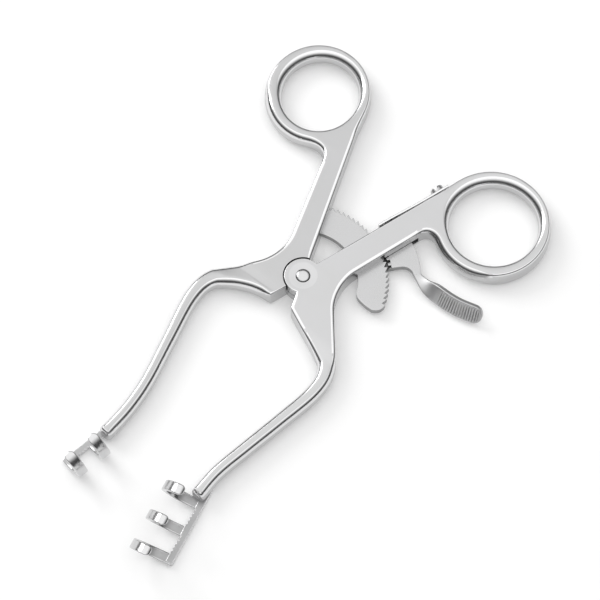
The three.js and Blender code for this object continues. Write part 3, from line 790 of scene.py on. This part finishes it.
# ------------------------------------------------------------------ ratchet and catch
def ratchet_bar():
    """A toothed arc with a round end; its tail is let into the left shank."""
    last = FIRST_CREST + TOOTH_PITCH * (TOOTH_COUNT - 1)
    tail = last + TAIL_BEYOND
    corner, tip = polar(RACK_INNER + 0.6, RACK_END + 1.5), polar(RACK_MIDDLE + 1.2, RACK_END - 1.5)
    shoulder = polar(RACK_CREST - 0.2, RACK_END - 0.2)
    points = arc(RACK_INNER, tail, RACK_END + 9)
    points += curve(points[-1], corner, tip) + curve(tip, shoulder, polar(RACK_CREST, FIRST_CREST))
    for i in range(TOOTH_COUNT):
        crest = FIRST_CREST + i * TOOTH_PITCH
        points += [polar(RACK_CREST, crest), polar(RACK_CREST - TOOTH_DEPTH, crest + TOOTH_LEAN)]
    points.append(polar(RACK_CREST, tail))
    return slab("ratchet_bar", [closed(points, TOOTH_EDGE)], RACK_LOW, RACK_HIGH,
                [BRUSHED, SHADED_EDGE], steps=2)


def catch_plate():
    """The flat of the catch: its teeth, its heel under the leaf spring and the tab's root."""
    edge = RACK_CREST + CATCH_CLEARANCE
    root = edge + CATCH_DEPTH
    points = [polar(edge, CATCH_FIRST)]
    for i in range(CATCH_TEETH):
        first = CATCH_FIRST + i * TOOTH_PITCH
        points += [polar(root, first + CATCH_GAP[0]), polar(root, first + CATCH_GAP[1]),
                   polar(edge, first + CATCH_FACE), polar(edge, first + TOOTH_PITCH)]
    points += [shank(SHANK_RIGHT, 21.4, 1.6), shank(SHANK_RIGHT, 24.5, -1.1),
               shank(SHANK_RIGHT, 26.3, -1.1)]
    points += curve(points[-1], shank(SHANK_RIGHT, 26.9, 2.0), (12.6, 24.1))
    points += curve((12.6, 24.1), (16.6, 23.0), (20.6, 18.6))
    points += [(19.6, 17.2)] + curve((19.6, 17.2), (17.2, 18.9), (15.3, 16.5))
    return slab("plate", [closed(points, TOOTH_EDGE)], RACK_LOW, RACK_HIGH, [BRUSHED, SHADED_EDGE],
                steps=2)


def thumb_tab():
    """A strip that twists up from the plate and leans back, ribbed on its pressed face."""
    line = catmull(TAB_LINE, per_span=60)
    steps = np.linalg.norm(np.diff(line, axis=0), axis=1)
    length = np.concatenate([[0], np.cumsum(steps)])
    stations = np.linspace(0, length[-1], TAB_STATIONS)
    middle = np.column_stack([np.interp(stations, length, line[:, i]) for i in (0, 1)])
    along = np.gradient(middle, axis=0)
    along /= np.linalg.norm(along, axis=1)[:, None]
    rings = []
    for (x, y), (tx, ty), s in zip(middle, along, stations):
        left = length[-1] - s
        t = min(1.0, max(0.0, (s - TWIST_START) / TWIST_LENGTH))
        t = t * t * (3 - 2 * t)
        lean = math.radians(90 + (TAB_LEAN - 90) * t)
        half_long = TAB_ROOT_HALF + (TAB_HALF - TAB_ROOT_HALF) * t
        half_long *= math.sqrt(max(0.01, 1 - max(0.0, 1 - left / TAB_HALF) ** 2.4))
        half_thick = (TAB_ROOT_THICKNESS + (TAB_THICKNESS - TAB_ROOT_THICKNESS) * t) / 2
        z = RACK_CENTRE + (TAB_MIDDLE - RACK_CENTRE) * t
        sunk = 0.0
        if RIB_END < left < RIB_START:
            sunk = RIB_DEPTH * (1 - abs(math.sin(math.pi * (left - RIB_END) / RIB_PITCH)))
        ring = []
        for u, v in rounded_box(half_long, half_thick, per_side=6):
            if v < 0 and abs(u) < half_long - RIB_MARGIN:
                v += sunk
            across = u * math.sin(lean) + v * math.cos(lean)
            up = u * math.cos(lean) - v * math.sin(lean)
            ring.append((x - ty * across, y + tx * across, z + up))
        rings.append(ring)
    return sweep("tab", rings, [0] * len(rings), [MATTE])


def catch_shade_sheet():
    """A thin dark strip under the teeth: painted shade in the clearance between them."""
    edge = RACK_CREST + CATCH_CLEARANCE
    last = CATCH_FIRST + CATCH_TEETH * TOOTH_PITCH
    points = arc(edge - SHADE_SHEET_REACH, CATCH_FIRST, last) + arc(edge + SHADE_SHEET_BACK, last, CATCH_FIRST)
    return slab("shade_sheet", [closed(points, TOOTH_EDGE)], SHADE_SHEET_LOW, SHADE_SHEET_HIGH, [SHADED_RECESS], steps=1)


# ------------------------------------------------------------------ spring, screws and pins
def leaf_spring():
    """A strip on edge along the shank's inner side."""
    run = catmull([(s, SPRING_FACE + o) for s, o in SPRING_LINE], per_span=8)
    outer = [shank(SHANK_RIGHT, s, o - SPRING_THICKNESS) for s, o in run]
    inner = [shank(SHANK_RIGHT, s, o) for s, o in run]
    return slab("leaf_spring", [closed(inner + outer[::-1], TOOTH_EDGE)], SPRING_LOW, SPRING_HIGH,
                [POLISHED], steps=2)


def spring_screw():
    """A slotted cheese-head screw across the shank."""
    head = lathe("spring_screw", [(0, -3.2), (0.72, -3.2), (0.72, 0), (1.58, 0), (1.65, 0.08),
                                  (1.65, 0.95), (1.58, 1.16), (1.4, 1.27), (1.1, 1.3), (0, 1.3)],
                 SATIN, segments=48)
    corners = [(-3, -DRIVER_SLOT), (3, -DRIVER_SLOT), (3, DRIVER_SLOT), (-3, DRIVER_SLOT)]
    slot = slab("slot", [closed(corners, TOOTH_EDGE)], DRIVER_SLOT_FLOOR, 3, [SHADED_RECESS], steps=1)
    cut(head, slot)
    a = math.radians(SHANK_RIGHT)
    inward = Vector((-math.sin(a), math.cos(a), 0))
    upward = Vector((0, 0, 1))
    turn = Matrix((upward, inward.cross(upward), inward)).transposed()
    x, y = shank(SHANK_RIGHT, SPRING_SCREW_S, SPRING_FACE - SPRING_THICKNESS - SPRING_SCREW_GAP)
    return moved(head, x, y, SPRING_SCREW_Z, turn=turn.to_4x4())


def pin(name, x, y, radius, material):
    """A pin peened and ground flush with both faces."""
    piece = lathe(name, [(0, 0), (radius - 0.12, 0), (radius, 0.08), (radius, THICKNESS + 0.001),
                         (0, THICKNESS + 0.003)], material, segments=32)
    return moved(piece, x, y)


def pivot_screw():
    """A plain shaft with a low rounded head."""
    radius = SCREW_RADIUS
    shoulder = THICKNESS - SCREW_SHOULDER
    profile = [(0, 0), (radius - 0.1, 0), (radius, 0.1), (radius, shoulder)]
    steps = 12
    for i in range(1, steps + 1):
        a = math.pi / 2 * i / steps
        profile.append((radius - SCREW_ROUND * (1 - math.cos(a)), shoulder + SCREW_RISE * math.sin(a)))
    profile.append((0, profile[-1][1] + 0.02))
    return lathe("pivot_screw", profile, BUTTON, segments=72)


# ------------------------------------------------------------------ the pieces on their bodies
finish_piece(left_arm(), "left", "left_arm")
finish_piece(right_arm(), "right", "right_arm")
finish_piece(rake_piece(LEFT_RAKE, "left_prongs"), "left", "left_prong_rake")
finish_piece(rake_piece(RIGHT_RAKE, "right_prongs"), "right", "right_prong_rake")
finish_piece(ratchet_bar(), "left", "ratchet_bar", sharp=25)
for number, along in enumerate(RIVET_S, 1):
    rivet = pin(f"rivet_{number}", *shank(SHANK_LEFT, along, RIVET_O), RIVET_RADIUS, SATIN_SHADED_LEFT)
    finish_piece(rivet, "left", f"ratchet_rivet_{number}")
finish_piece(pivot_screw(), "left", "pivot_screw")
catch = join("catch_lever", [catch_plate(), thumb_tab(), catch_shade_sheet()])
finish_piece(catch, "catch", "catch_lever", sharp=30)
catch_pin = pin("catch_pin_end", *CATCH_PIVOT, CATCH_PIN_RADIUS, SATIN)
finish_piece(catch_pin, "right", "catch_pin")
finish_piece(leaf_spring(), "spring", "leaf_spring")
finish_piece(spring_screw(), "right", "spring_screw", sharp=30)


# ------------------------------------------------------------------ table, light and camera
def table():
    """A white table top that glows faintly, so that its shadows stay pale."""
    material = bpy.data.materials.new("white table")
    material.use_nodes = True
    nodes, links = material.node_tree.nodes, material.node_tree.links
    shader = nodes["Principled BSDF"]
    shader.inputs["Roughness"].default_value = 0.9
    shader.inputs["Emission Color"].default_value = (1, 1, 1, 1)
    shader.inputs["Emission Strength"].default_value = TABLE_GLOW
    texture = nodes.new("ShaderNodeTexNoise")
    texture.inputs["Scale"].default_value = 6.0
    tone = nodes.new("ShaderNodeMix")
    tone.data_type = "RGBA"
    for name, value in zip("AB", TABLE_TONES):
        tone.inputs[name].default_value = (value, value, value, 1)
    links.new(texture.outputs["Fac"], tone.inputs["Factor"])
    links.new(tone.outputs["Result"], shader.inputs["Base Color"])
    half = TABLE_HALF
    corners = [(-half, -half, 0), (half, -half, 0), (half, half, 0), (-half, half, 0)]
    plane = make_object("table_top", corners, [(0, 1, 2, 3)], [0], [material])
    plane.location.z = -TABLE_DROP


def studio():
    """A bright tent overhead with a dark gap above the horizon, and one soft key light."""
    world = bpy.data.worlds.new("studio")
    bpy.context.scene.world = world
    world.use_nodes = True
    nodes, links = world.node_tree.nodes, world.node_tree.links
    place = nodes.new("ShaderNodeTexCoord")
    split = nodes.new("ShaderNodeSeparateXYZ")
    links.new(place.outputs["Generated"], split.inputs["Vector"])
    ramp = nodes.new("ShaderNodeValToRGB")
    links.new(split.outputs["Z"], ramp.inputs["Fac"])
    stops = ramp.color_ramp.elements
    for stop, (position, value) in zip((stops[0], stops[1]), (SKY[0], SKY[-1])):
        stop.position = position
        stop.color = (value, value, value, 1)
    for position, value in SKY[1:-1]:
        stops.new(position).color = (value, value, value, 1)
    background = nodes["Background"]
    background.inputs["Strength"].default_value = SKY_STRENGTH
    links.new(ramp.outputs["Color"], background.inputs["Color"])
    seen = nodes.new("ShaderNodeBackground")       # what shows behind the table's edge
    seen.inputs["Color"].default_value = (BACKDROP, BACKDROP, BACKDROP, 1)
    path = nodes.new("ShaderNodeLightPath")
    mix = nodes.new("ShaderNodeMixShader")
    links.new(path.outputs["Is Camera Ray"], mix.inputs["Fac"])
    links.new(background.outputs["Background"], mix.inputs[1])
    links.new(seen.outputs["Background"], mix.inputs[2])
    links.new(mix.outputs["Shader"], nodes["World Output"].inputs["Surface"])

    key = bpy.data.lights.new("key", "AREA")
    key.shape = "DISK"
    key.size = KEY_SIZE
    key.energy = KEY_WATTS
    lamp = bpy.data.objects.new("key", key)
    bpy.context.scene.collection.objects.link(lamp)
    lamp.location = Vector(KEY_PLACE)
    lamp.rotation_euler = (-lamp.location).to_track_quat("-Z", "Y").to_euler()


def camera():
    """Looks down over the prongs at the pivot from a distance, as a product photograph does."""
    azimuth, elevation = math.radians(CAMERA_AZIMUTH), math.radians(CAMERA_ELEVATION)
    back = Vector((math.sin(azimuth) * math.cos(elevation),
                   -math.cos(azimuth) * math.cos(elevation), math.sin(elevation)))
    right = Vector((math.cos(azimuth), math.sin(azimuth), 0))
    up = back.cross(right)
    data = bpy.data.cameras.new("camera")
    data.sensor_width = SENSOR_WIDTH
    data.lens = SENSOR_WIDTH * CAMERA_DISTANCE * 1000 * CAMERA_SCALE / IMAGE_WIDTH
    data.clip_end = 20
    item = bpy.data.objects.new("camera", data)
    bpy.context.scene.collection.objects.link(item)
    aim = Vector((0, 0, THICKNESS / 1000)) + right * CAMERA_SHIFT[0] + up * CAMERA_SHIFT[1]
    turn = Matrix((right, up, back)).transposed().to_4x4()
    item.matrix_world = Matrix.Translation(aim + back * CAMERA_DISTANCE) @ turn
    bpy.context.scene.camera = item


table()
studio()
camera()
bpy.context.scene.view_settings.view_transform = "Standard"
